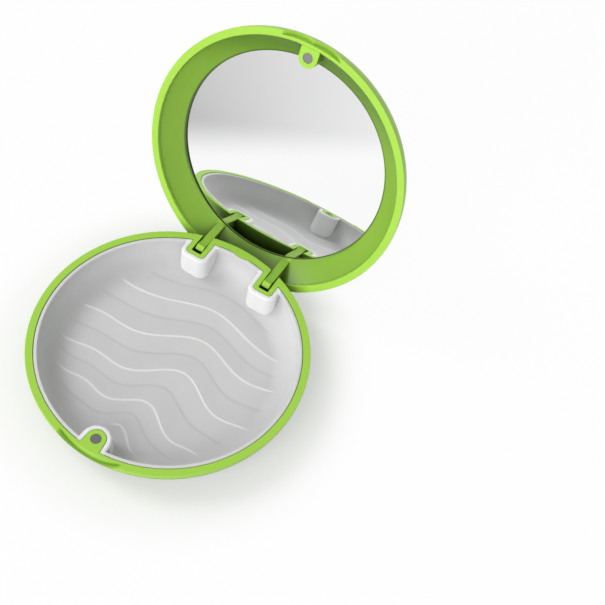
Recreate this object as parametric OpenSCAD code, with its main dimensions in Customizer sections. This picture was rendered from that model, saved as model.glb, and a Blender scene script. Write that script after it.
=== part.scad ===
// Round retainer case: a shallow base with a soft tray, and a hinged lid with a mirror inside.
// Millimetres, +Z up. The origin is the centre of the flat foot, the finger notch faces -Y,
// the hinge is at +Y, and the lid is drawn open against its stop.

/* [Case] */
// Outer diameter at the parting line
case_d = 84; // [76:1:96]
// Height of the base
base_depth = 11.2; // [10.4:0.1:14]
// How much tighter the upper arc of the base is than its height
side_in = 1.2; // [0.4:0.1:2]
// How much wider the lower arc of the base is than its height
belly_out = 3.8; // [2:0.1:5]
// Radius of the lid's rounded side
lid_side_r = 11; // [10.4:0.1:13]
// Rise of the lid's crown above its rounded side
crown_h = 1.4; // [0.6:0.1:3]
// Gap between the two rims when the case is shut
rim_gap = 0.2; // [0.1:0.05:0.4]
// Angle through which the lid opens
open_angle = 110.6; // [95:0.1:112]

/* [Walls] */
// Width of the flat rim of base and lid
rim_w = 2.3; // [2:0.1:2.8]
// Thickness of the base's floor
floor_t = 1.3; // [1.1:0.1:1.6]
// Height of the upright band inside the base, under the rim
rim_band = 1; // [0.8:0.1:1.4]
// Wall of the lid's dome
lid_wall_t = 1.6; // [1.3:0.1:1.8]
// Height of the lip inside the lid's rim that the frame snaps behind
rim_lip = 1.2; // [0.8:0.1:1.5]

/* [Tray] */
// Clearance between the tray and the base
tray_gap = 0.1; // [0.05:0.05:0.2]
// Wall of the tray, seen as a pale band inside the rim
tray_t = 1.1; // [1:0.1:1.6]
// Floor of the tray
tray_floor_t = 0.9; // [0.7:0.1:1.2]
// Wall of the tray's pockets round the bosses
wrap_t = 1.4; // [1:0.1:1.6]
// Drop of the tray's edge below the rim
tray_drop = 0.15; // [0.1:0.05:0.4]
// Distance between the ripples of the tray's floor
ripple_pitch = 12.9; // [10:0.1:14]
// Width of one ripple
ripple_w = 1.1; // [0.8:0.1:2]
// Height of the ripples
ripple_h = 0.35; // [0.2:0.05:0.6]
// Sideways swing of a ripple
ripple_swing = 2.8; // [1:0.1:5]
// Length of one wave along the middle ripple
ripple_wave = 51; // [44:1:70]
// How much longer the wave gets from one ripple to the next
ripple_stretch = 6; // [0:0.5:8]

/* [Hinge] */
// Distance of each hinge arm from the middle of the case
hinge_x = 12.4; // [10:0.1:14]
// Distance of the hinge axis inside the case's outer edge
pivot_inset = 5.1; // [4.8:0.1:5.6]
// Depth of the hinge axis below the base's rim
pivot_drop = 3; // [2.6:0.1:3.4]
// Diameter of the hinge pins
pin_d = 1.6; // [1.2:0.1:2]
// Radial clearance of the pin in the arm's eye
pin_play = 0.04; // [0.02:0.01:0.08]
// Width of a hinge arm
arm_w = 2.7; // [2.2:0.1:3.4]
// Mean clearance on each side of an arm in its slot
arm_gap = 0.3; // [0.25:0.05:0.4]
// How far each arm sits inwards of the middle of its slot
arm_shift = 0.15; // [0:0.05:0.2]
// Wall of a boss beside its slot
boss_wall = 1.65; // [1.2:0.05:2]
// Wall of a boss in front of its slot
boss_front_t = 1.3; // [1:0.1:1.8]
// Corner radius of a boss
boss_corner_r = 1.3; // [0.8:0.1:2]
// Radius of the arm's eye
eye_r = 2.3; // [2:0.1:2.5]
// Radius of the arm's nose, which fills the slot when the lid is open
nose_r = 3.8; // [3.4:0.1:3.9]
// Distance of the arm's front face from the hinge axis
arm_front = 2.8; // [2.4:0.1:3.1]
// Distance of the arm's back face from the hinge axis
arm_back = 1.3; // [1:0.1:1.6]
// Running clearance round the hinge
hinge_gap = 0.35; // [0.25:0.05:0.4]
// Gap at the stop that the open lid leans on
stop_gap = 0.1; // [0.05:0.05:0.3]

/* [Mirror] */
// Width of the frame's sloping side, from the rim's inner edge to the mirror
frame_side_w = 6.2; // [5.8:0.1:8]
// Thickness of the mirror
mirror_t = 1.2; // [0.8:0.1:1.3]
// Width of the mirror's edge that the frame covers
mirror_overlap = 0.7; // [0.6:0.1:1]
// Thickness of the frame's edge in front of the mirror
mirror_lip_t = 0.6; // [0.4:0.1:0.9]
// Width of the shadow groove between the frame's edge and the mirror
shadow_w = 0.4; // [0.2:0.1:0.5]
// Height of that groove
shadow_h = 0.25; // [0.1:0.05:0.3]
// Wall of the frame
frame_t = 1.3; // [1:0.1:1.6]
// Radius of the frame's hollow inner side
frame_cove_r = 40; // [12:1:80]
// Width of the foam ring behind the mirror
pad_w = 8; // [4:0.5:14]
// Thickness of the foam ring
pad_t = 1.1; // [0.8:0.1:1.6]

/* [Closure] */
// Diameter of the magnets
magnet_d = 3; // [2:0.5:4]
// Length of the magnets
magnet_h = 2.5; // [2:0.5:3]
// Depth of a magnet below the face of its boss
magnet_drop = 0.15; // [0.05:0.05:0.4]
// Distance of the magnets inside the case's outer edge
magnet_inset = 5.4; // [5.2:0.1:5.8]
// Wall of a boss round its magnet
magnet_wall = 1.45; // [1.2:0.05:1.6]
// How much wider the base's magnet boss gets on each side towards the rim
boss_flare = 0.6; // [0:0.1:1]
// Width of the finger notch at the parting line
notch_w = 21; // [16:1:26]
// Height of the finger notch in the base
notch_h = 3.3; // [2.4:0.1:4]
// Depth of the finger notch into the rims
notch_cut = 1.3; // [1:0.1:1.8]
// Height of the two arches in the lid's edge
arch_h = 2; // [1.5:0.1:2.6]
// Distance between the two arches
arch_pitch = 8.4; // [7:0.1:10]
// Radius of the arches
arch_r = 8; // [6:0.5:11]
// Width of the rounded tab that holds the tray at the back
tab_w = 6; // [4:0.5:8]
// Reach of that tab over the tray's edge
tab_reach = 0.8; // [0.5:0.1:1]
// Thickness of that tab
tab_t = 0.9; // [0.6:0.1:1.3]

/* [Hidden] */
$fn = 96;

shell_green = [0.58, 0.80, 0.28];
frame_green = [0.54, 0.75, 0.26];
tray_grey = [0.86, 0.86, 0.86];
mirror_grey = [0.80, 0.83, 0.86];
pad_grey = [0.35, 0.35, 0.36];
steel_grey = [0.62, 0.63, 0.65];

cut = 1;
crown_steps = 720;
fit_gap = 0.05;
case_r = case_d / 2;
rim_in_r = case_r - rim_w;
parting_z = base_depth;
lid_z = parting_z + rim_gap;
band_z = parting_z - rim_band;

base_side_r = base_depth - side_in;
belly_r = base_depth + belly_out;
belly_turn = asin(belly_out / (belly_out + side_in));
foot_r = case_r - base_side_r - (belly_r - base_side_r) * cos(belly_turn);
belly_end_r = case_r - base_side_r + base_side_r * cos(belly_turn);

tray_wall_r = rim_in_r - tray_gap;
tray_bottom_z = floor_t;
tray_floor_z = tray_bottom_z + tray_floor_t;
tray_top_z = parting_z - tray_drop;
ripple_rows = 2;
ripple_mid_y = -6.8;
ripple_mid_x = 4;
ripple_hump = 1.5;
ripple_steps = 22;
ripple_margin = 5;
ripple_field_r = tray_wall_r - tray_t - ripple_margin;

pivot_y = case_r - pivot_inset;
pivot_z = parting_z - pivot_drop;
slot_w = arm_w + 2 * arm_gap;
boss_w = slot_w + 2 * boss_wall;
slot_front = nose_r + hinge_gap;
boss_front_y = pivot_y - slot_front - boss_front_t;
nose_back = 1.2;
arm_neck_z = 2.2;
pin_end_gap = 0.1;
pin_r = pin_d / 2;
pin_l = boss_w - 2 * pin_end_gap;
barrel_x = sqrt(case_r * case_r - pivot_y * pivot_y);
barrel_steps = 24;

crown_r = (pow(case_r - lid_side_r, 2) + pow(lid_side_r + crown_h, 2) - pow(lid_side_r, 2)) / (2 * crown_h);
side_c = case_r - lid_side_r;

mirror_view_r = rim_in_r - frame_side_w;
mirror_r = mirror_view_r + mirror_overlap;
crown_z = lid_z + lid_side_r + crown_h - crown_r;
pad_r = side_c;
pad_top_z = crown_z + sqrt(pow(crown_r - lid_wall_t, 2) - pow(pad_r, 2)) - fit_gap;
pad_z = pad_top_z - pad_t;
mirror_z = pad_z - mirror_t;
mirror_depth = mirror_z - lid_z;
cove_a = [rim_in_r, lid_z + rim_lip];
cove_b = [mirror_view_r, mirror_z - mirror_lip_t];
cove_chord = norm(cove_b - cove_a);
cove_side = [cove_a.y - cove_b.y, cove_b.x - cove_a.x] / cove_chord;
cove_c = (cove_a + cove_b) / 2 + cove_side * sqrt(pow(frame_cove_r, 2) - pow(cove_chord / 2, 2));

magnet_y = -(case_r - magnet_inset);
magnet_r = magnet_d / 2;
magnet_boss_r = magnet_r + magnet_wall;
notch_r = notch_w * notch_w / (8 * notch_h) + notch_h / 2;
tab_r = tab_w * tab_w / (8 * tab_reach) + tab_reach / 2;

// Distance of the base's rear edge from the hinge axis, in the plane at x
function edge_reach(x) = norm([sqrt(case_r * case_r - x * x) - pivot_y, pivot_drop]);

// Middle line of one ripple
function ripple_turn(row, x) = 360 * (x - ripple_mid_x) / (ripple_wave + row * ripple_stretch);
function ripple_y(row, x) = ripple_mid_y + row * ripple_pitch + ripple_swing * cos(ripple_turn(row, x))
    + ripple_hump * cos(2 * ripple_turn(row, x));

// Half section of a round tray with an upright wall and one arc down to a flat bottom
module bowl_section(wall_r, bottom_z, arc_z, top_z) {
    arc_r = arc_z - bottom_z;
    translate([0, bottom_z]) square([wall_r - arc_r, top_z - bottom_z]);
    intersection() {
        translate([wall_r - arc_r, arc_z]) circle(arc_r);
        translate([wall_r - arc_r, bottom_z]) square(arc_r);
    }
    if (top_z > arc_z) translate([0, arc_z]) square([wall_r, top_z - arc_z]);
}

module bowl(wall_r, bottom_z, arc_z, top_z) {
    rotate_extrude() bowl_section(wall_r, bottom_z, arc_z, top_z);
}

// Half section of the base's outer form: a flat foot, a wide lower arc and a tighter upper arc
module base_section() {
    square([foot_r, parting_z]);
    intersection() {
        translate([foot_r, belly_r]) circle(belly_r);
        translate([foot_r, 0]) square([belly_end_r - foot_r, parting_z]);
    }
    intersection() {
        translate([case_r - base_side_r, parting_z]) circle(base_side_r);
        translate([case_r - base_side_r, 0]) square([base_side_r, parting_z]);
    }
}

// Half section of the lid's dome, set in from its outer face: a rounded side that runs into the crown
module dome_section(inset) {
    side_r = lid_side_r - inset;
    join_r = side_c + side_r * side_c / (crown_r - lid_side_r);
    intersection() {
        translate([0, crown_z]) circle(crown_r - inset, $fn = crown_steps);
        translate([0, lid_z]) square([join_r, lid_side_r + crown_h]);
    }
    intersection() {
        translate([side_c, lid_z]) circle(side_r);
        translate([side_c, lid_z]) square(side_r);
    }
}

module dome(inset) {
    rotate_extrude() dome_section(inset);
}

// Puts a shape drawn on the plane of the hinge axis across the case, width wide, at x
module across(x, width) {
    translate([x - width / 2, pivot_y, pivot_z]) rotate([90, 0, 90]) linear_extrude(width) children();
}

module on_axis(x, r, length) {
    translate([x - length / 2, pivot_y, pivot_z]) rotate([0, 90, 0]) cylinder(r = r, h = length);
}

module both_sides() {
    children();
    mirror([1, 0, 0]) children();
}

// Turns what is drawn on the shut lid to the open position
module opened() {
    translate([0, pivot_y, pivot_z]) rotate([-open_angle, 0, 0]) translate([0, -pivot_y, -pivot_z]) children();
}

// Plan of one hinge boss, with round front corners
module hinge_boss_plan(grow) {
    w = boss_w + 2 * grow;
    r = boss_corner_r + grow;
    front = boss_front_y - grow;
    translate([hinge_x - w / 2, front + r]) square([w, case_r - front]);
    translate([hinge_x - w / 2 + r, front]) square([w - 2 * r, r]);
    for (side = [-1, 1]) translate([hinge_x + side * (w / 2 - r), front + r]) circle(r);
}

module magnet_boss_plan(grow, flare) {
    r = magnet_boss_r + grow;
    foot = r + flare;
    translate([0, magnet_y]) circle(r);
    polygon([[-r, magnet_y], [r, magnet_y], [foot, -case_r], [-foot, -case_r]]);
}

// Columns of the three bosses that stand in the base
module boss_columns(grow) {
    linear_extrude(parting_z + 2 * cut) {
        both_sides() hinge_boss_plan(grow);
        magnet_boss_plan(grow, boss_flare);
    }
}

module tray_tab(grow) {
    translate([0, rim_in_r - tab_reach + tab_r, parting_z - tab_t - grow])
        cylinder(r = tab_r + grow, h = tab_t + grow + cut);
}

// Room for one arm from shut to open, on the plane of the hinge axis
module slot_profile() {
    circle(eye_r + hinge_gap);
    intersection() {
        circle(slot_front);
        translate([-slot_front, -slot_front]) square([slot_front - nose_back + hinge_gap, slot_front]);
    }
    translate([-slot_front, 0]) square(slot_front + case_r);
    rotate(90 - open_angle) translate([0, -arm_back - stop_gap]) square(case_r);
}

// Side view of one arm of the shut lid: eye, nose, and a rib that reaches the mirror's edge
module arm_profile() {
    top = mirror_z - pivot_z;
    mirror_edge_y = sqrt(pow(mirror_view_r, 2) - pow(hinge_x, 2)) - pivot_y;
    circle(eye_r);
    intersection() {
        circle(nose_r);
        translate([-arm_front, -nose_r]) square([arm_front - nose_back, nose_r]);
    }
    polygon([[-arm_front, -fit_gap], [mirror_edge_y, top], [arm_back, top], [arm_back, arm_neck_z], [eye_r, 0]]);
}

// Body of revolution about the hinge axis that the base's rear edge sweeps as the lid turns
module hinge_barrel() {
    profile = [for (i = [0 : barrel_steps]) let (x = barrel_x * (2 * i / barrel_steps - 1))
        [edge_reach(x) + hinge_gap, x]];
    translate([0, pivot_y, pivot_z]) rotate([0, 90, 0]) rotate_extrude()
        polygon(concat([[0, -barrel_x]], profile, [[0, barrel_x]]));
}

// Front part of a rim that the finger notch may cut, outside notch_cut
module notch_zone() {
    difference() {
        translate([-case_r, -case_r - cut, 0]) cube([case_d, case_r, 2 * lid_z]);
        translate([0, 0, -cut]) cylinder(r = case_r - notch_cut, h = 2 * (lid_z + cut));
    }
}

module through_front() {
    rotate([90, 0, 0]) linear_extrude(case_d) children();
}

module base_notch() {
    intersection() {
        notch_zone();
        through_front() translate([0, parting_z - notch_h + notch_r]) circle(notch_r);
    }
}

module lid_notch() {
    intersection() {
        notch_zone();
        through_front() for (side = [-1, 1])
            translate([side * arch_pitch / 2, lid_z + arch_h - arch_r]) circle(arch_r);
    }
}

module ripples() {
    linear_extrude(tray_floor_z + ripple_h) intersection() {
        circle(ripple_field_r);
        for (row = [-ripple_rows : ripple_rows]) {
            xs = [for (i = [0 : ripple_steps]) ripple_field_r * (2 * i / ripple_steps - 1)];
            low = [for (x = xs) [x, ripple_y(row, x) - ripple_w / 2]];
            high = [for (i = [ripple_steps : -1 : 0]) [xs[i], ripple_y(row, xs[i]) + ripple_w / 2]];
            polygon(concat(low, high));
        }
    }
}

// Lower shell with its rim, the three bosses, the tray's tab and the finger notch
module base_shell() {
    color(shell_green) difference() {
        rotate_extrude() base_section();
        difference() {
            bowl(rim_in_r, floor_t, band_z, parting_z + cut);
            boss_columns(0);
            tray_tab(0);
        }
        both_sides() across(hinge_x, slot_w) slot_profile();
        both_sides() on_axis(hinge_x, pin_r, boss_w + cut);
        translate([0, magnet_y, parting_z - magnet_drop - magnet_h]) cylinder(r = magnet_r, h = magnet_h + cut);
        base_notch();
    }
}

// Soft tray with pockets round the bosses and ripples on its floor
module liner_tray() {
    color(tray_grey) difference() {
        bowl(tray_wall_r, tray_bottom_z, band_z, tray_top_z);
        difference() {
            bowl(tray_wall_r - tray_t, tray_floor_z, band_z, tray_top_z + cut);
            boss_columns(tray_gap + wrap_t);
            ripples();
        }
        boss_columns(tray_gap);
        tray_tab(tray_gap);
    }
}

module base_magnet() {
    color(steel_grey) translate([0, magnet_y, parting_z - magnet_drop - magnet_h])
        cylinder(r = magnet_r - fit_gap / 2, h = magnet_h);
}

module hinge_pin(side) {
    color(steel_grey) on_axis(side * hinge_x, pin_r, pin_l);
}

// Outer dome of the lid, with its rim, the arches of the finger notch and the relief at the hinge
module lid_shell() {
    color(shell_green) opened() difference() {
        dome(0);
        difference() {
            dome(lid_wall_t);
            difference() {
                translate([0, 0, lid_z]) cylinder(r = case_r, h = rim_lip);
                translate([0, 0, lid_z - cut]) cylinder(r = rim_in_r, h = rim_lip + 2 * cut);
            }
        }
        hinge_barrel();
        lid_notch();
    }
}

module frame_section() {
    difference() {
        intersection() {
            translate(cove_c) circle(frame_cove_r + frame_t);
            translate([mirror_view_r - cut, lid_z + rim_lip + fit_gap]) square(frame_side_w + rim_w + cut);
        }
        translate(cove_c) circle(frame_cove_r);
    }
}

// What the dome's wall takes up, which the frame stops short of
module dome_wall() {
    difference() {
        translate([0, 0, lid_z]) cylinder(r = case_r + cut, h = lid_side_r + crown_h);
        dome(lid_wall_t + fit_gap);
    }
}

module frame_magnet_boss() {
    intersection() {
        translate([0, 0, lid_z]) linear_extrude(mirror_depth) magnet_boss_plan(0, 0);
        translate([0, 0, lid_z]) cylinder(r = rim_in_r - fit_gap, h = mirror_depth);
    }
}

// Inner frame of the lid: a hollow ring that holds the mirror, with the hinge arms and the magnet's boss
module lid_frame() {
    color(frame_green) opened() difference() {
        union() {
            difference() {
                rotate_extrude() frame_section();
                hinge_barrel();
            }
            both_sides() across(hinge_x - arm_shift, arm_w) arm_profile();
            frame_magnet_boss();
        }
        dome_wall();
        translate([0, 0, lid_z - cut]) cylinder(r = mirror_view_r, h = mirror_depth + 2 * cut);
        translate([0, 0, mirror_z]) cylinder(r = mirror_r + fit_gap, h = lid_side_r);
        translate([0, 0, mirror_z - shadow_h]) cylinder(r = mirror_view_r + shadow_w, h = 2 * shadow_h);
        translate([0, magnet_y, lid_z - cut]) cylinder(r = magnet_r, h = magnet_drop + magnet_h + cut);
        both_sides() on_axis(hinge_x, pin_r + pin_play, boss_w);
    }
}

module mirror_disc() {
    color(mirror_grey) opened() translate([0, 0, mirror_z]) cylinder(r = mirror_r, h = mirror_t);
}

// Foam ring that presses the mirror against the frame
module mirror_pad() {
    color(pad_grey) opened() translate([0, 0, pad_z]) difference() {
        cylinder(r = pad_r, h = pad_t);
        translate([0, 0, -cut]) cylinder(r = pad_r - pad_w, h = pad_t + 2 * cut);
    }
}

module lid_magnet() {
    color(steel_grey) opened() translate([0, magnet_y, lid_z + magnet_drop])
        cylinder(r = magnet_r - fit_gap / 2, h = magnet_h);
}

base_shell();
liner_tray();
base_magnet();
hinge_pin(-1);  // left_hinge_pin
hinge_pin(1);  // right_hinge_pin
lid_shell();
lid_frame();
mirror_disc();  // mirror
mirror_pad();
lid_magnet();
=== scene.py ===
import math

import bmesh
import bpy
import numpy as np
from mathutils import Matrix, Vector
from mathutils.bvhtree import BVHTree


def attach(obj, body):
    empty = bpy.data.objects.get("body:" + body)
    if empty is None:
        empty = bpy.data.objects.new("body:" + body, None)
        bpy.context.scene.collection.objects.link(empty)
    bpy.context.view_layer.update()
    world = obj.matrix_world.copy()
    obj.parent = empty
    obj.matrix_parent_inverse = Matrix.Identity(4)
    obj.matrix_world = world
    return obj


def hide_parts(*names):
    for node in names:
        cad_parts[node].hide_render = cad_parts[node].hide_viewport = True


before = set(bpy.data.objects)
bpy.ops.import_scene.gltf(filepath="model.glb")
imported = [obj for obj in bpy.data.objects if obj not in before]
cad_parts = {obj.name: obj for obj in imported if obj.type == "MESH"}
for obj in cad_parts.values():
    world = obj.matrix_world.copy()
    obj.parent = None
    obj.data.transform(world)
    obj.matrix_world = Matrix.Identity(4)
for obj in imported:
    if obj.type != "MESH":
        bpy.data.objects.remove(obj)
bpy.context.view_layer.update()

MM = 0.001

# Camera, fitted to the rims of the base and the lid in the photograph
IMAGE_PX = 605
SENSOR_MM = 36.0
VIEW_AZIMUTH = 19.7065
VIEW_ELEVATION = 56.2943
VIEW_ROLL = 12.579
VIEW_DISTANCE = 0.32745
VIEW_TARGET = (0.0250, 0.03557, 0.0112)
VIEW_FOCAL_PX = 1057.74
NEAREST_SEEN = 0.01

# Lamps: place and width in metres, power in watts
LIGHT_TARGET = (0.0, 0.02, 0.01)
KEY_PLACE, KEY_SIZE, KEY_POWER = (-0.85, -0.12, 0.90), 0.6, 5.0
FILL_PLACE, FILL_SIZE, FILL_POWER = (-0.10, -1.35, 0.66), 1.5, 17.0

# The studio's front left side is greyer: painted shade on the floor, and a greyer backdrop, which the
# mirror shows: direction, share, spread and curve
DIM_SIDE = (-0.819, -0.574, 0.0)
DIM_DEPTH = 0.55
DIM_SPREAD = (0.56, 1.02)
DIM_CURVE = 1.3

# Floor, in millimetres: painted greyer along one direction as shade, and it glows more away from the
# case
FLOOR_HALF, FLOOR_Z = 3000.0, -0.1
FLOOR_COLOUR, FLOOR_ROUGHNESS = 0.92, 0.9
FLOOR_SHADE_WAY, FLOOR_SHADE_REACH = (-1.0, -0.1, 0.0), (72.0, 128.0)
FLOOR_CLEAR, FLOOR_GLOW = (43.0, 64.0), (0.40, 0.94)

# Backdrop: its tone from low to high, and the light it gives
SKY_HEIGHTS, SKY_TONES = (0.1, 0.8), (0.976, 0.65)
SKY_LIGHT = 0.47

# Sizes of the case that the meshes here share with the solids, in millimetres
CASE_R = 42.0
PARTING_Z = 11.2
PIVOT_Y, PIVOT_Z = 36.9, 8.2
OPEN_ANGLE = 110.6
LID_Z = 11.4
RIM_IN_R = 39.7
MIRROR_VIEW_R = 33.5
MIRROR_Z = 18.49
TRAY_OUT_R = 39.6
TRAY_IN_R = 38.5
TRAY_BOTTOM_Z = 1.3
TRAY_FLOOR_Z = 2.2
TRAY_BAND_Z = 10.2
TRAY_TOP_Z = 11.05
TRAY_GAP = 0.1
WRAP_T = 1.4
HINGE_X = 12.4
ARM_SHIFT = 0.15
ARM_W = 2.7
BOSS_W = 6.6
BOSS_FRONT_Y = 31.45
BOSS_CORNER_R = 1.3
MAGNET_Y = -36.6
MAGNET_BOSS_R = 2.95
MAGNET_FLARE = 0.6
TAB_R, TAB_REACH, TAB_T = 6.025, 0.8, 0.9
NOTCH_W, NOTCH_CUT = 21.0, 1.3

# Soft edges of the tray, in millimetres
LIP_IN_R = 0.22
LIP_OUT_R = 0.25
SLEEVE_TOP_R = 0.75
SLEEVE_FOOT_R = 0.4
SLEEVE_DRAFT = 0.2
SLEEVE_EXTRA = 0.05
SLEEVE_SINK = 0.1
SLEEVE_ROOT = 0.2
BELOW_Z, ABOVE_Z = -1.0, 14.0

# Steps of the tray's mesh: round it, over its floor, up its inside and up its outside
RING_STEPS = 640
FLOOR_RINGS = 110
WALL_RINGS = 40
OUTER_RINGS = 24
TAB_STEPS = 120

# Rounding of the other shells' edges, in millimetres and degrees
SHELL_ROUND, FRAME_ROUND = 0.22, 0.16
SHARP_ANGLE = 25
SHELL_CREASE, TRAY_CREASE = 40, 35
FLAT_BASE, FLAT_LID = 0.4, 0.02
WELD_DISTANCE = 1e-7
STRAY_SHARE = 0.75
NOTCH_SIDE_ROOM, NOTCH_BACK_ROOM = 0.3, 0.1
SEAM_RISE, SEAM_ROOM = 0.3, 0.1
FRAME_IN_ROOM, FRAME_OUT_ROOM = 1.5, 0.15
RIB_ROOM = 0.02

# Crest lines of the tray's waves: middle y, slope, swing, middle x, wave length, second swing
WAVES = (
    (-29.8, 0.0, 2.6, 0.6, 26.0, 1.0),
    (-19.4, -0.056, 2.47, 3.2, 40.2, 1.46),
    (-6.9, 0.049, 3.44, 6.1, 53.5, 1.81),
    (6.3, 0.100, 2.66, 4.5, 64.4, 1.66),
    (19.3, 0.038, 2.74, 2.1, 51.9, 0.27),
    (33.0, 0.0, 2.7, 3.0, 60.0, 0.3),
)
WAVE_RISE = 0.3
CREST_RISE = 0.10
CREST_HALF = 0.30
VALLEY_HALF = 0.06
WAVE_FADE = (31.0, 34.0)
END_FALL, END_HEIGHT = 8.0, 0.4
SLOPE_STEP = 0.1
FAR_AWAY = 99.0

# The first crest runs out to the left of this x
FIRST_CREST_X, FIRST_CREST_FADE = -1.0, 4

# Where the tray's painted highlights, shade and light go: below and above the floor, and round and
# above the sleeves' feet
MARK_BELOW, MARK_ABOVE = 0.4, 1.5
SLEEVE_ROOM, SLEEVE_START = 0.08, 0.3

# Drift of roughness on plastic and metal, and heights above the floor where the tray turns from its
# floor's painted shade to its paler wall
PLASTIC_DRIFT, METAL_DRIFT = 0.04, 0.08
WALL_START, WALL_FULL = 0.2, 5.0


def smooth_step(low, high, value):
    t = np.clip((value - low) / (high - low), 0.0, 1.0)
    return t * t * (3 - 2 * t)


def crest_y(row, x):
    middle, slope, swing, x0, length, hump = WAVES[row]
    turn = 2 * math.pi * (x - x0) / length
    return middle + slope * x + swing * np.cos(turn) + hump * np.cos(2 * turn)


def wave_place(x, y):
    """Distance to the nearest crest line, and height between valley 0 and crest 1."""
    crests = np.array([crest_y(row, x) for row in range(len(WAVES))])
    height = np.zeros_like(x)
    nearest = np.full_like(x, FAR_AWAY)
    for row in range(len(WAVES) - 1):
        low, high = crests[row], crests[row + 1]
        inside = (y >= low) & (y < high)
        t = np.where(inside, (y - low) / np.maximum(high - low, 0.1), 0.0)
        height = np.where(inside, np.abs(1 - 2 * t), height)
    beyond = np.maximum(crests[0] - y, y - crests[-1])
    height = np.where(beyond > 0, np.maximum(1 - beyond / END_FALL, END_HEIGHT), height)
    for row in range(len(WAVES)):
        change = crest_y(row, x + SLOPE_STEP) - crest_y(row, x - SLOPE_STEP)
        steep = np.abs(change) / (2 * SLOPE_STEP)
        away = np.abs(y - crests[row]) / np.sqrt(1 + steep * steep)
        if row == 0:
            away = away + np.maximum(FIRST_CREST_X - x, 0.0) / FIRST_CREST_FADE
        nearest = np.minimum(nearest, away)
    return nearest, height


def wave_fade(x, y):
    """1 on the tray's floor, down to 0 at the foot of its wall."""
    return 1 - smooth_step(*WAVE_FADE, np.hypot(x, y))


def wave_relief(x, y):
    nearest, height = wave_place(x, y)
    bead = np.exp(-((nearest / CREST_HALF) ** 2))
    return wave_fade(x, y) * (WAVE_RISE * (height - 0.5) + CREST_RISE * bead)


def make_object(name, data):
    obj = bpy.data.objects.new(name, data)
    bpy.context.scene.collection.objects.link(obj)
    return obj


def mesh_from(name, points, faces):
    mesh = bpy.data.meshes.new(name)
    mesh.from_pydata([tuple(float(c) * MM for c in p) for p in points], [], faces)
    mesh.validate()
    return mesh


def band_faces(low, high, count):
    """Faces between two closed rings of points."""
    faces = []
    for i in range(count):
        j = (i + 1) % count
        faces.append((low + i, low + j, high + j, high + i))
    return faces


def revolve(name, profile, relief=None):
    """Closed body from a profile that starts and ends on the axis."""
    steps = RING_STEPS
    points = [(0.0, 0.0, profile[0][1]), (0.0, 0.0, profile[-1][1])]
    ring = np.arange(steps) * 2 * math.pi / steps
    cos, sin = np.cos(ring), np.sin(ring)
    for r, z in profile[1:-1]:
        x, y = r * cos, r * sin
        lift = relief(x, y) if relief and z < TRAY_BAND_Z else np.zeros(steps)
        points.extend(zip(x, y, z + lift))
    if relief:
        zero = np.zeros(1)
        x, y, z = points[0]
        points[0] = (x, y, z + float(relief(zero, zero)[0]))
    first, last = 2, len(points) - steps
    faces = []
    for i in range(steps):
        j = (i + 1) % steps
        faces.append((0, first + j, first + i))
        faces.append((1, last + i, last + j))
    for low in range(first, last, steps):
        faces += band_faces(low, low + steps, steps)
    return make_object(name, mesh_from(name, points, faces))


def loft(name, plan, levels):
    """Closed body through a plan's outlines, one for each height and growth."""
    outlines = [[(x, y, z) for x, y in plan(grow)] for z, grow in levels]
    count = len(outlines[0])
    points = [p for outline in outlines for p in outline]
    last = len(points) - count
    faces = [tuple(range(count))[::-1], tuple(range(last, len(points)))]
    for low in range(0, last, count):
        faces += band_faces(low, low + count, count)
    return make_object(name, mesh_from(name, points, faces))


def arc(centre, r, start, end, steps):
    turns = [math.radians(start + (end - start) * i / steps) for i in range(steps + 1)]
    return [(centre[0] + r * math.cos(t), centre[1] + r * math.sin(t)) for t in turns]


def hinge_plan(side, grow, steps=10):
    w, r, front = BOSS_W / 2 + grow, BOSS_CORNER_R + grow, BOSS_FRONT_Y - grow
    points = [(w, CASE_R), (-w, CASE_R)]
    for corner_x, start in ((-w + r, 180), (w - r, 270)):
        points += arc((corner_x, front + r), r, start, start + 90, steps)
    return [(side * HINGE_X + x, y) for x, y in points]


def left_plan(grow):
    return hinge_plan(-1, grow)


def right_plan(grow):
    return hinge_plan(1, grow)


def magnet_plan(grow, steps=36):
    r = MAGNET_BOSS_R + grow
    points = [(-r - MAGNET_FLARE, -CASE_R), (r + MAGNET_FLARE, -CASE_R)]
    return points + arc((0.0, MAGNET_Y), r, 0, 180, steps)


def tab_plan(grow):
    whole = arc((0.0, RIM_IN_R - TAB_REACH + TAB_R), TAB_R + grow, 0, 360, TAB_STEPS)
    return whole[:-1]


def quarter_turns(steps):
    return [math.radians(90 * i / steps) for i in range(steps + 1)]


def sleeve(plan):
    """Soft sleeve round a boss: a rounded top edge, a slight draft and a hollow foot."""
    grow = TRAY_GAP + WRAP_T
    levels = []
    for t in quarter_turns(steps=6):
        levels.append((TRAY_FLOOR_Z - SLEEVE_SINK + SLEEVE_FOOT_R * (1 - math.cos(t)),
                       grow + SLEEVE_DRAFT + SLEEVE_EXTRA + SLEEVE_FOOT_R * (1 - math.sin(t))))
    for t in quarter_turns(steps=8):
        levels.append((TRAY_TOP_Z - SLEEVE_TOP_R * (1 - math.sin(t)),
                       grow + SLEEVE_EXTRA - SLEEVE_TOP_R * (1 - math.cos(t))))
    levels.insert(0, (TRAY_BOTTOM_Z + SLEEVE_ROOT, levels[0][1]))
    levels.append((ABOVE_Z, levels[-1][1]))
    return loft("sleeve", plan, levels)


def room(plan, bottom):
    """Straight hole round a plan, with the tray's clearance."""
    return loft("room", plan, [(bottom, TRAY_GAP), (ABOVE_Z, TRAY_GAP)])


def cut_away(target, *others):
    for other in others:
        step = target.modifiers.new("step", "BOOLEAN")
        step.operation = "DIFFERENCE"
        step.solver = "MANIFOLD"
        step.object = other
        depsgraph = bpy.context.evaluated_depsgraph_get()
        mesh = bpy.data.meshes.new_from_object(target.evaluated_get(depsgraph))
        target.modifiers.clear()
        target.data = mesh
        bpy.data.objects.remove(other)


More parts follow.
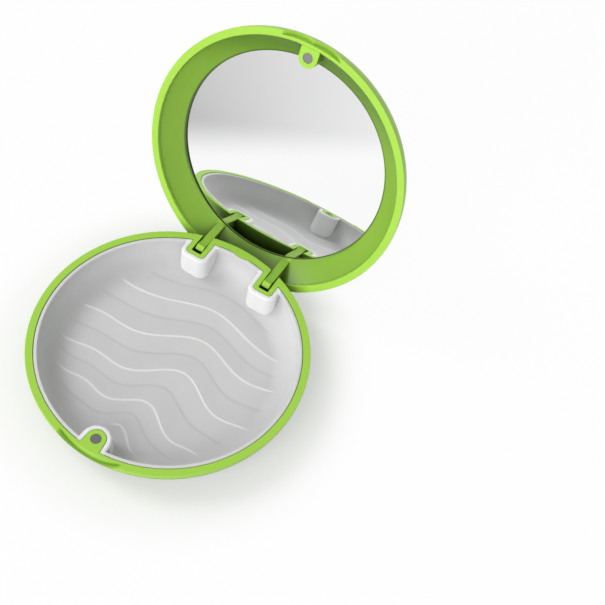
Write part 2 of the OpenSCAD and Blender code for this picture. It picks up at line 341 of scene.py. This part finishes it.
def make_tray():
    out_r = TRAY_BAND_Z - TRAY_BOTTOM_Z
    in_r = TRAY_BAND_Z - TRAY_FLOOR_Z
    flat_r = TRAY_IN_R - in_r
    body = [(0.0, TRAY_BOTTOM_Z)]
    body += arc((TRAY_OUT_R - out_r, TRAY_BAND_Z), out_r, -90, 0, OUTER_RINGS)
    body += arc((TRAY_OUT_R - LIP_OUT_R, TRAY_TOP_Z - LIP_OUT_R), LIP_OUT_R, 0, 90, steps=5)
    body += [(0.0, TRAY_TOP_Z)]
    hollow = [(flat_r * i / FLOOR_RINGS, TRAY_FLOOR_Z) for i in range(FLOOR_RINGS)]
    hollow += arc((flat_r, TRAY_BAND_Z), in_r, -90, 0, WALL_RINGS)
    hollow += arc((TRAY_IN_R + LIP_IN_R, TRAY_TOP_Z - LIP_IN_R), LIP_IN_R, 180, 90, steps=6)
    hollow += [(hollow[-1][0], ABOVE_Z), (0.0, ABOVE_Z)]
    tray = revolve("liner_tray_soft", body)
    space = revolve("tray_space", hollow, wave_relief)
    plans = (left_plan, right_plan, magnet_plan)
    cut_away(space, *[sleeve(plan) for plan in plans])
    cut_away(tray, space)
    cut_away(tray, *[room(plan, BELOW_Z) for plan in plans])
    cut_away(tray, room(tab_plan, PARTING_Z - TAB_T - TRAY_GAP))
    paint_waves(tray.data)
    finish_mesh(tray, TRAY_CREASE)
    return tray


def places(items, key):
    """Places of a mesh's points or faces in millimetres, as x, y and z."""
    flat = np.zeros(len(items) * 3, np.float32)
    items.foreach_get(key, flat)
    return (flat.reshape(-1, 3) / MM).T.astype(float)


def paint_waves(mesh):
    """Stores where the crests, the valleys and the sleeves are, for the tray's painted highlights,
    painted shade and painted light.
    """
    x, y, z = places(mesh.vertices, "co")
    nearest, height = wave_place(x, y)
    on_floor = (z > TRAY_FLOOR_Z - MARK_BELOW) * (z < TRAY_FLOOR_Z + MARK_ABOVE)
    fade = wave_fade(x, y) * on_floor
    crest = np.exp(-((nearest / CREST_HALF) ** 2)) * fade
    valley = np.exp(-((height / VALLEY_HALF) ** 2)) * fade
    x, y, z = places(mesh.polygons, "center")
    side = np.maximum(np.abs(np.abs(x) - HINGE_X) - BOSS_W / 2 + BOSS_CORNER_R, 0)
    hinge = np.hypot(side, np.maximum(BOSS_FRONT_Y + BOSS_CORNER_R - y, 0)) - BOSS_CORNER_R
    magnet = np.hypot(x, np.maximum(y - MAGNET_Y, 0)) - MAGNET_BOSS_R
    draft = SLEEVE_DRAFT * (TRAY_TOP_Z - z) / (TRAY_TOP_Z - TRAY_FLOOR_Z)
    reach = TRAY_GAP + WRAP_T + draft + SLEEVE_ROOM
    near_boss = (hinge < reach) & (y > 0) | (magnet < reach) & (y < 0)
    lit_sleeves = near_boss & (z > TRAY_FLOOR_Z + SLEEVE_START)
    for name, domain, values in (("crest", "POINT", crest), ("valley", "POINT", valley),
                                 ("sleeve", "FACE", lit_sleeves)):
        layer = mesh.attributes.new(name, "FLOAT", domain)
        layer.data.foreach_set("value", values.astype(np.float32))


def finish_mesh(obj, crease):
    mesh = obj.data
    mesh.polygons.foreach_set("use_smooth", [True] * len(mesh.polygons))
    mesh.set_sharp_from_angle(angle=math.radians(crease))
    weighted = obj.modifiers.new("even_normals", "WEIGHTED_NORMAL")
    weighted.keep_sharp = True


def closed(point):
    """Place of a point of the open lid when the lid is shut, in millimetres."""
    t = math.radians(OPEN_ANGLE)
    y, z = point.y / MM - PIVOT_Y, point.z / MM - PIVOT_Z
    return (point.x / MM, PIVOT_Y + y * math.cos(t) - z * math.sin(t),
            PIVOT_Z + y * math.sin(t) + z * math.cos(t))


def opened(x, y, z):
    """Place of a point of the shut lid when the lid is open, in metres."""
    t = math.radians(OPEN_ANGLE)
    y, z = y - PIVOT_Y, z - PIVOT_Z
    return Vector((x, PIVOT_Y + y * math.cos(t) + z * math.sin(t),
                   PIVOT_Z - y * math.sin(t) + z * math.cos(t))) * MM


def in_notch(x, y):
    in_width = y < 0 and abs(x) < NOTCH_W / 2 + NOTCH_SIDE_ROOM
    return in_width and math.hypot(x, y) > CASE_R - NOTCH_CUT - NOTCH_BACK_ROOM


def free_base_edge(point):
    """Leaves the finger notch's edges as crisp as they are."""
    return not in_notch(point.x / MM, point.y / MM)


def free_rim_edge(point):
    """Leaves the edges sharp at the finger notch and where the lid's rim meets the frame."""
    x, y, z = closed(point)
    at_seam = z > LID_Z + SEAM_RISE or (y < 0 and abs(x) < MAGNET_BOSS_R)
    return not (in_notch(x, y) or at_seam and abs(math.hypot(x, y) - RIM_IN_R) < SEAM_ROOM)


def free_frame_edge(point):
    """Leaves the frame's edges sharp where it meets the rim and the mirror."""
    x, y, z = closed(point)
    return MIRROR_VIEW_R + FRAME_IN_ROOM < math.hypot(x, y) < RIM_IN_R - FRAME_OUT_ROOM


def rounded(node, name, width, flat_angle, keep):
    """Copy of a CAD node with its sharp edges rounded where keep says so."""
    bm = bmesh.new()
    bm.from_mesh(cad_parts[node].data)
    bmesh.ops.remove_doubles(bm, verts=bm.verts, dist=WELD_DISTANCE)
    solid = BVHTree.FromBMesh(bm)
    bmesh.ops.dissolve_limit(bm, angle_limit=math.radians(flat_angle), use_dissolve_boundaries=False,
                             verts=bm.verts, edges=bm.edges)
    sharp = [e for e in bm.edges if e.calc_face_angle(0.0) > math.radians(SHARP_ANGLE)]
    sharp = [e for e in sharp if keep((e.verts[0].co + e.verts[1].co) / 2)]
    bmesh.ops.bevel(bm, geom=sharp, offset=width * MM, offset_type="OFFSET", segments=2, profile=0.5,
                    affect="EDGES", clamp_overlap=False, loop_slide=True, material=-1)
    for vert in bm.verts:
        near = solid.find_nearest(vert.co)
        if near[3] > STRAY_SHARE * width * MM:
            vert.co = near[0]
    mesh = bpy.data.meshes.new(name)
    bm.to_mesh(mesh)
    bm.free()
    # The normals stored with the solid no longer fit the rounded mesh
    old_normals = mesh.attributes.get("custom_normal")
    if old_normals:
        mesh.attributes.remove(old_normals)
    obj = make_object(name, mesh)
    finish_mesh(obj, SHELL_CREASE)
    return obj


def shade_cone(mesh):
    """Gives the frame's sloping ring, apart from the arms and the magnet's boss, a darker copy of the
    green as painted shade.
    """
    mesh.materials.append(GREEN_CONE_SHADED)
    boss_r = MAGNET_BOSS_R + RIB_ROOM
    for face in mesh.polygons:
        x, y, z = closed(face.center)
        arm = y > 0 and abs(abs(x) - HINGE_X + ARM_SHIFT) < ARM_W / 2 + RIB_ROOM
        boss = math.hypot(x, y - MAGNET_Y) < boss_r or (y < MAGNET_Y and abs(x) < boss_r)
        face.material_index = 0 if arm or boss else 1


def new_material(name):
    material = bpy.data.materials.new(name)
    material.use_nodes = True
    nodes = material.node_tree.nodes
    return material, nodes, material.node_tree.links, nodes["Principled BSDF"]


def plug(links, socket, value):
    """Links a socket to another one, or sets its own value."""
    if isinstance(value, bpy.types.NodeSocket):
        links.new(value, socket)
    else:
        socket.default_value = value


def calculate(nodes, links, operation, first, second):
    node = nodes.new("ShaderNodeMath")
    node.operation = operation
    plug(links, node.inputs[0], first)
    plug(links, node.inputs[1], second)
    return node.outputs["Value"]


def vector_node(nodes, links, operation, first, second=None):
    node = nodes.new("ShaderNodeVectorMath")
    node.operation = operation
    plug(links, node.inputs[0], first)
    if second is not None:
        plug(links, node.inputs[1], second)
    return node


def map_range(nodes, links, value, ends=(0.0, 1.0), results=(0.0, 1.0), smooth=False):
    """Carries a value from one range over to another, with soft ends if smooth."""
    node = nodes.new("ShaderNodeMapRange")
    node.interpolation_type = "SMOOTHSTEP" if smooth else "LINEAR"
    names = ("Value", "From Min", "From Max", "To Min", "To Max")
    for name, setting in zip(names, (value, *ends, *results)):
        plug(links, node.inputs[name], setting)
    return node.outputs["Result"]


def length_ramp(nodes, links, length, ends, results=(0.0, 1.0)):
    """Smooth step of a length between two ends in millimetres."""
    return map_range(nodes, links, length, [end * MM for end in ends], results, smooth=True)


def mix_colour(nodes, links, factor, first, second):
    """Mix of two colours, each a tuple or a socket."""
    mix = nodes.new("ShaderNodeMix")
    mix.data_type = "RGBA"
    links.new(factor, mix.inputs["Factor"])
    for index, value in ((6, first), (7, second)):
        plug(links, mix.inputs[index], (*value, 1) if isinstance(value, tuple) else value)
    return mix.outputs[2]


def with_value(nodes, links, colour, value):
    """Colour made lighter or darker by a factor."""
    shade = nodes.new("ShaderNodeHueSaturation")
    links.new(colour, shade.inputs["Color"])
    links.new(value, shade.inputs["Value"])
    return shade.outputs["Color"]


def own_place(nodes):
    """Place in the object's own frame."""
    return nodes.new("ShaderNodeTexCoord").outputs["Object"]


def upright_part(nodes, links, vector):
    split = nodes.new("ShaderNodeSeparateXYZ")
    links.new(vector, split.inputs["Vector"])
    return split.outputs["Z"]


def noise(nodes, links, scale, detail):
    node = nodes.new("ShaderNodeTexNoise")
    node.inputs["Scale"].default_value = scale
    node.inputs["Detail"].default_value = detail
    links.new(own_place(nodes), node.inputs["Vector"])
    return node.outputs["Fac"]


def set_gloss(nodes, links, shader, value, roughness):
    """Lets the roughness run between two limits with a value."""
    links.new(map_range(nodes, links, value, results=roughness), shader.inputs["Roughness"])


def add_grain(nodes, links, shader, scale, strength, height):
    """Fine grain of the mould on a surface, with its height in metres."""
    bump = nodes.new("ShaderNodeBump")
    bump.inputs["Strength"].default_value = strength
    bump.inputs["Distance"].default_value = height
    links.new(noise(nodes, links, scale, detail=2.0), bump.inputs["Height"])
    links.new(bump.outputs["Normal"], shader.inputs["Normal"])


def painted_corner_shade(nodes, links, colour, reach, depth):
    """Painted shade: darkens a colour in corners and gaps, where less light gets in."""
    near = nodes.new("ShaderNodeAmbientOcclusion")
    near.samples = 8
    near.inputs["Distance"].default_value = reach
    fall = map_range(nodes, links, near.outputs["AO"], results=(1 - depth, 1.0))
    return with_value(nodes, links, colour, fall)


def plastic(name, colour, darker, roughness, specular, grain_scale, grain_height, reach, depth):
    """Moulded plastic: a slight drift of colour, painted shade in corners, a drift of gloss and a fine
    moulded grain.
    """
    material, nodes, links, shader = new_material(name)
    drift = noise(nodes, links, scale=60.0, detail=3.0)
    mixed = mix_colour(nodes, links, drift, darker, colour)
    links.new(painted_corner_shade(nodes, links, mixed, reach, depth), shader.inputs["Base Color"])
    set_gloss(nodes, links, shader, drift, (roughness - PLASTIC_DRIFT, roughness + PLASTIC_DRIFT))
    shader.inputs["Specular IOR Level"].default_value = specular
    add_grain(nodes, links, shader, grain_scale, strength=0.25, height=grain_height)
    return material


def tint(material, share, colour):
    """Mixes a colour into a material's own one."""
    nodes, links = material.node_tree.nodes, material.node_tree.links
    socket = nodes["Principled BSDF"].inputs["Base Color"]
    plain = socket.links[0].from_socket
    links.new(mix_colour(nodes, links, share, plain, colour), socket)


def painted_shadow_line(material, centre, reach, heights, colour):
    """Painted shadow line on a surface round a centre, that fades out below a height."""
    nodes, links = material.node_tree.nodes, material.node_tree.links
    place = own_place(nodes)
    apart = vector_node(nodes, links, "DISTANCE", place, centre).outputs["Value"]
    near = length_ramp(nodes, links, apart, reach[::-1])
    high = length_ramp(nodes, links, upright_part(nodes, links, place), heights)
    tint(material, calculate(nodes, links, "MULTIPLY", near, high), colour)


def shaded_top(material, heights, share, colour):
    """Mixes a darker colour into a surface towards its top, where the rim keeps the light out."""
    nodes, links = material.node_tree.nodes, material.node_tree.links
    height = upright_part(nodes, links, own_place(nodes))
    tint(material, length_ramp(nodes, links, height, heights, (0.0, share)), colour)


def painted(nodes, layer):
    """Value that was stored on the mesh."""
    mark = nodes.new("ShaderNodeAttribute")
    mark.attribute_name = layer
    return mark.outputs["Fac"]


def silicone(name, wall, floor, crest, valley, sleeve_lit_colour, roughness):
    """Soft tray: a matt floor painted greyer than its pale walls as shade, painted highlights on the
    crests, painted shade in the valleys and corners, and painted light on the sleeves.
    """
    material, nodes, links, shader = new_material(name)
    height = upright_part(nodes, links, own_place(nodes))
    rise = length_ramp(nodes, links, height, (TRAY_FLOOR_Z + WALL_START, TRAY_FLOOR_Z + WALL_FULL))
    # Painted shade: the floor is greyer than the wall
    colour = mix_colour(nodes, links, rise, floor, wall)
    # Painted shade along the valleys
    colour = mix_colour(nodes, links, painted(nodes, "valley"), colour, valley)
    # Painted highlights along the crests
    colour = mix_colour(nodes, links, painted(nodes, "crest"), colour, crest)
    drift = noise(nodes, links, scale=150.0, detail=4.0)
    colour = with_value(nodes, links, colour, map_range(nodes, links, drift, results=(0.97, 1.03)))
    colour = painted_corner_shade(nodes, links, colour, reach=0.010, depth=0.45)
    # Painted light on the sleeves, which face the front lamp
    colour = mix_colour(nodes, links, painted(nodes, "sleeve"), colour, sleeve_lit_colour)
    links.new(colour, shader.inputs["Base Color"])
    set_gloss(nodes, links, shader, rise, (roughness + 0.1, roughness))
    add_grain(nodes, links, shader, scale=3200.0, strength=0.2, height=0.00002)
    return material


def metal(name, dark, light, mark_scale, mark_detail, roughness):
    """Metal whose colour and gloss drift between two limits with fine marks."""
    material, nodes, links, shader = new_material(name)
    shader.inputs["Metallic"].default_value = 1.0
    marks = noise(nodes, links, mark_scale, mark_detail)
    links.new(mix_colour(nodes, links, marks, dark, light), shader.inputs["Base Color"])
    set_gloss(nodes, links, shader, marks, roughness)
    return material


def brushed_metal(name, colour, roughness):
    """Plated metal with fine turning marks."""
    dark = tuple(c * 0.8 for c in colour)
    limits = (roughness - METAL_DRIFT, roughness + METAL_DRIFT)
    return metal(name, dark, colour, mark_scale=4000.0, mark_detail=4.0, roughness=limits)


LIME, LIME_DARK = (0.378, 0.675, 0.074), (0.360, 0.648, 0.066)
# The greens share one colour; their reach and depth set how much painted shade each gets in its corners
GREEN_BASE = plastic("green_base", LIME, LIME_DARK, roughness=0.36, specular=0.3,
                     grain_scale=2600.0, grain_height=0.00002, reach=0.016, depth=0.95)
GREEN_LID = plastic("green_lid", LIME, LIME_DARK, roughness=0.36, specular=0.3,
                    grain_scale=2600.0, grain_height=0.00002, reach=0.006, depth=0.5)
GREEN_ARMS = plastic("green_frame", LIME, LIME_DARK, roughness=0.42, specular=0.2,
                     grain_scale=2600.0, grain_height=0.00001, reach=0.03, depth=0.9)
# The frame's sloping ring: the same green, made darker as painted shade
SHADED_LIME, SHADED_LIME_DARK = (0.258, 0.484, 0.039), (0.242, 0.462, 0.035)
GREEN_CONE_SHADED = plastic("green_cone_shaded", SHADED_LIME, SHADED_LIME_DARK, roughness=0.34, specular=0.5,
                     grain_scale=2600.0, grain_height=0.00001, reach=0.03, depth=0.9)
# Painted shadow line on the sloping ring round the mirror's edge
painted_shadow_line(GREEN_CONE_SHADED, centre=opened(0, 0, MIRROR_Z), reach=(MIRROR_VIEW_R + 0.1, MIRROR_VIEW_R + 0.7),
          heights=(12.0, 28.0), colour=(0.05, 0.10, 0.01))
shaded_top(GREEN_CONE_SHADED, heights=(54.0, 76.0), share=0.66, colour=(0.05, 0.13, 0.005))
# One pale silicone: its greyer floor and valleys are painted shade, its crests painted highlights, its
# sleeves painted light
TRAY = silicone("tray_silicone", wall=(0.68, 0.68, 0.685), floor=(0.62, 0.62, 0.625),
                crest=(0.86, 0.86, 0.865), valley=(0.55, 0.55, 0.555),
                sleeve_lit_colour=(0.83, 0.83, 0.835), roughness=0.42)
FOAM_GREY, FOAM_DARK = (0.05, 0.05, 0.052), (0.03, 0.03, 0.032)
FOAM = plastic("pad_foam", FOAM_GREY, FOAM_DARK, roughness=0.9, specular=0.2,
               grain_scale=1500.0, grain_height=0.0001, reach=0.004, depth=0.3)
BASE_MAGNET = brushed_metal("base_magnet_plate", (0.24, 0.24, 0.245), 0.45)
# The lid magnet is made lighter as a painted highlight, in place of the fill lamp's glint that shiny
# surfaces don't see
LID_MAGNET = brushed_metal("lid_magnet_plate_glint", (0.46, 0.455, 0.45), 0.45)
PIN = brushed_metal("pin_steel", (0.55, 0.56, 0.58), 0.30)
MIRROR = metal("mirror_silver", dark=(0.94, 0.942, 0.945), light=(0.96, 0.962, 0.965),
               mark_scale=90.0, mark_detail=2.0, roughness=(0.0, 0.02))

MATERIALS = {
    "base_shell": GREEN_BASE, "liner_tray": TRAY, "base_magnet": BASE_MAGNET, "left_hinge_pin": PIN,
    "right_hinge_pin": PIN, "lid_shell": GREEN_LID, "lid_frame": GREEN_ARMS, "mirror": MIRROR,
    "mirror_pad": FOAM, "lid_magnet": LID_MAGNET,
}


def dress(obj, material):
    obj.data.materials.clear()
    obj.data.materials.append(material)


def stand_in(obj, node, body):
    dress(obj, MATERIALS[node])
    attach(obj, body)
    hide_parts(node)


for node, material in MATERIALS.items():
    dress(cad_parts[node], material)

tray = make_tray()
base_shell = rounded("base_shell", "base_shell_round", SHELL_ROUND, FLAT_BASE, free_base_edge)
lid_shell = rounded("lid_shell", "lid_shell_round", SHELL_ROUND, FLAT_LID, free_rim_edge)
lid_frame = rounded("lid_frame", "lid_frame_round", FRAME_ROUND, FLAT_LID, free_frame_edge)
stand_in(tray, "liner_tray", "base")
stand_in(base_shell, "base_shell", "base")
stand_in(lid_shell, "lid_shell", "lid")
stand_in(lid_frame, "lid_frame", "lid")
shade_cone(lid_frame.data)


def view_axes(azimuth, elevation, roll):
    """Right, up and back directions of the camera."""
    a, e, t = (math.radians(x) for x in (azimuth, elevation, roll))
    back = Vector((math.sin(a) * math.cos(e), -math.cos(a) * math.cos(e), math.sin(e)))
    right = Vector((math.cos(a), math.sin(a), 0.0))
    up = back.cross(right)
    return right * math.cos(t) + up * math.sin(t), up * math.cos(t) - right * math.sin(t), back


def make_camera():
    right, up, back = view_axes(VIEW_AZIMUTH, VIEW_ELEVATION, VIEW_ROLL)
    data = bpy.data.cameras.new("camera")
    data.sensor_width = SENSOR_MM
    data.lens = SENSOR_MM * VIEW_FOCAL_PX / IMAGE_PX
    data.clip_start = NEAREST_SEEN
    camera = make_object("camera", data)
    place = Vector(VIEW_TARGET) + back * VIEW_DISTANCE
    turn = Matrix((right, up, back)).transposed().to_4x4()
    camera.matrix_world = Matrix.Translation(place) @ turn
    bpy.context.scene.camera = camera


def seen_directly(nodes, links):
    """1 for what the camera sees, straight or in a shiny or clear surface."""
    path = nodes.new("ShaderNodeLightPath")
    seen = path.outputs["Is Camera Ray"]
    for ray in ("Is Glossy Ray", "Is Transmission Ray"):
        seen = calculate(nodes, links, "MAXIMUM", seen, path.outputs[ray])
    return seen


def dim_side(nodes, links, direction):
    """Share by which the floor, as painted shade, and the backdrop are greyer in a direction."""
    level = vector_node(nodes, links, "MULTIPLY", direction, (1.0, 1.0, 0.0)).outputs["Vector"]
    unit = vector_node(nodes, links, "NORMALIZE", level).outputs["Vector"]
    along = vector_node(nodes, links, "DOT_PRODUCT", unit, DIM_SIDE).outputs["Value"]
    curve = calculate(nodes, links, "POWER", map_range(nodes, links, along, DIM_SPREAD), DIM_CURVE)
    return calculate(nodes, links, "MULTIPLY", curve, DIM_DEPTH)


def make_floor():
    half = FLOOR_HALF
    corners = [(x, y, FLOOR_Z) for x, y in ((-half, -half), (half, -half), (half, half), (-half, half))]
    floor = make_object("floor", mesh_from("floor", corners, [(0, 1, 2, 3)]))
    material, nodes, links, shader = new_material("floor_white")
    place = own_place(nodes)
    aside = vector_node(nodes, links, "DOT_PRODUCT", place, FLOOR_SHADE_WAY).outputs["Value"]
    far = length_ramp(nodes, links, aside, FLOOR_SHADE_REACH)
    painted_shade = calculate(nodes, links, "MULTIPLY", dim_side(nodes, links, place), far)
    tone = calculate(nodes, links, "SUBTRACT", 1.0, painted_shade)
    colour = calculate(nodes, links, "MULTIPLY", tone, FLOOR_COLOUR)
    links.new(colour, shader.inputs["Base Color"])
    shader.inputs["Roughness"].default_value = FLOOR_ROUGHNESS
    glow = nodes.new("ShaderNodeEmission")
    links.new(tone, glow.inputs["Color"])
    apart = vector_node(nodes, links, "LENGTH", place).outputs["Value"]
    white = length_ramp(nodes, links, apart, FLOOR_CLEAR, FLOOR_GLOW)
    blend = nodes.new("ShaderNodeMixShader")
    share = calculate(nodes, links, "MULTIPLY", white, seen_directly(nodes, links))
    links.new(share, blend.inputs["Fac"])
    links.new(shader.outputs["BSDF"], blend.inputs[1])
    links.new(glow.outputs["Emission"], blend.inputs[2])
    links.new(blend.outputs["Shader"], nodes["Material Output"].inputs["Surface"])
    dress(floor, material)


def make_world():
    world = bpy.data.worlds.new("studio")
    world.use_nodes = True
    nodes, links = world.node_tree.nodes, world.node_tree.links
    background = nodes["Background"]
    background.inputs["Color"].default_value = (1, 1, 1, 1)
    direction = nodes.new("ShaderNodeTexCoord").outputs["Generated"]
    rise = upright_part(nodes, links, direction)
    sky = map_range(nodes, links, rise, SKY_HEIGHTS, SKY_TONES, smooth=True)
    light_side = calculate(nodes, links, "SUBTRACT", 1.0, dim_side(nodes, links, direction))
    shown = calculate(nodes, links, "MULTIPLY", sky, light_side)
    strength = map_range(nodes, links, seen_directly(nodes, links), results=(SKY_LIGHT, shown))
    links.new(strength, background.inputs["Strength"])
    bpy.context.scene.world = world


def area_light(name, place, size, power):
    data = bpy.data.lights.new(name, "AREA")
    data.shape = "DISK"
    data.size = size
    data.energy = power
    light = make_object(name, data)
    light.location = place
    light.rotation_mode = "QUATERNION"
    light.rotation_quaternion = (Vector(LIGHT_TARGET) - Vector(place)).to_track_quat("-Z", "Y")
    return light


make_camera()
make_floor()
make_world()
area_light("key", KEY_PLACE, KEY_SIZE, KEY_POWER)
fill = area_light("fill", FILL_PLACE, FILL_SIZE, FILL_POWER)
fill.visible_glossy = False
bpy.context.scene.view_settings.view_transform = "Standard"
